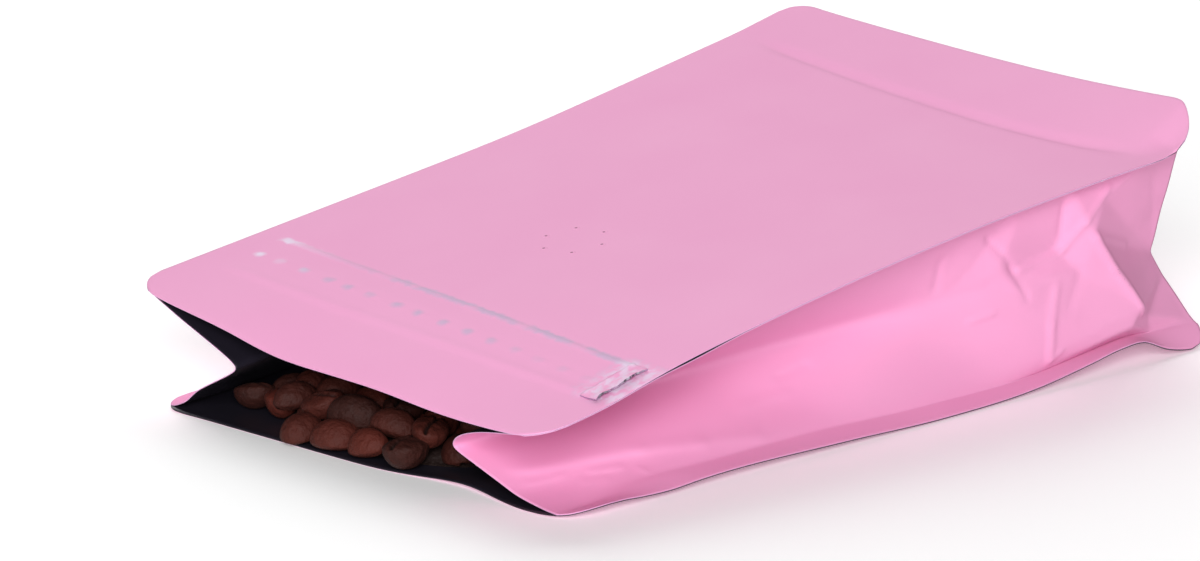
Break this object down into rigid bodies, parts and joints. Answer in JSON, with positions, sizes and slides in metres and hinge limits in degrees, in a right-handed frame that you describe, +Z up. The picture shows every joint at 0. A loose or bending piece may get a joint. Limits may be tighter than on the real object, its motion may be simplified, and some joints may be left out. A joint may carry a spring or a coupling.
{
  "type": "flat bottom coffee bag",
  "caption": "Open flat bottom coffee bag of matte pink film, lying on its back: inward side gussets, welded fins, tear strip, and roasted beans on the film inside its mouth.",
  "frame": {"origin": "on the surface that the bag lies on, under the middle of its box", "axes": "+X along the bag from its mouth to its flat bottom, +Y across it towards the far gusset, +Z up"},
  "size_m": [0.2051, 0.1303, 0.0588],
  "materials": {
    "film": "matte printed laminate film, dark foil inside",
    "beans": "roasted beans with a faint oily sheen"
  },
  "bodies": {
    "root": {"bag": "film", "beans": "beans"}
  },
  "joints": []
}
